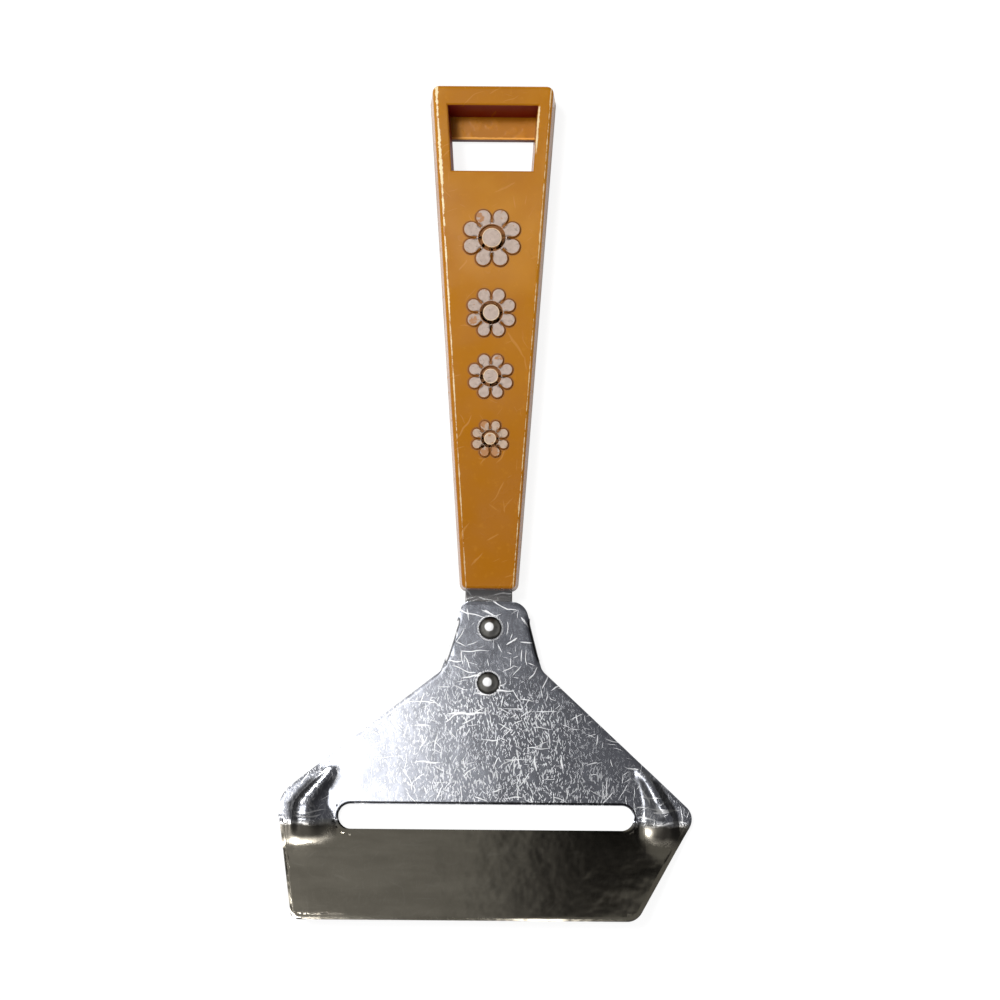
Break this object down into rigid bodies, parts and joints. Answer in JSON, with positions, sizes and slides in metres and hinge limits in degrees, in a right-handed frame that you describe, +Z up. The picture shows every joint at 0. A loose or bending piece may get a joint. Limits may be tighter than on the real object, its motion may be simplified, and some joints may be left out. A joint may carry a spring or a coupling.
{
  "type": "cheese slicer",
  "caption": "Hand-held cheese slicer: flared plastic handle with hanging window and raised daisies, and a riveted steel head with a wide slot and a rising far plate.",
  "frame": {"origin": "middle of the handle's flat back face, which lies on the table", "axes": "+Y along the handle to its hanging end, -Y to the head; +Z up, out of the decorated front"},
  "size_m": [0.1098, 0.2216, 0.0125],
  "materials": {
    "handle_plastic": "glossy ochre-orange moulding, worn pale along the front edges",
    "steel": "polished stainless sheet with fine random scratches",
    "daisy_film": "stamped grey-white film, worn through in places"
  },
  "bodies": {
    "root": {"handle_front_shell": "handle_plastic", "handle_back_cover": "handle_plastic", "head_plate": "steel", "tang": "steel", "rivet_upper": "steel", "rivet_lower": "steel", "daisy_film_1": "daisy_film", "daisy_film_2": "daisy_film", "daisy_film_3": "daisy_film", "daisy_film_4": "daisy_film"}
  },
  "joints": []
}
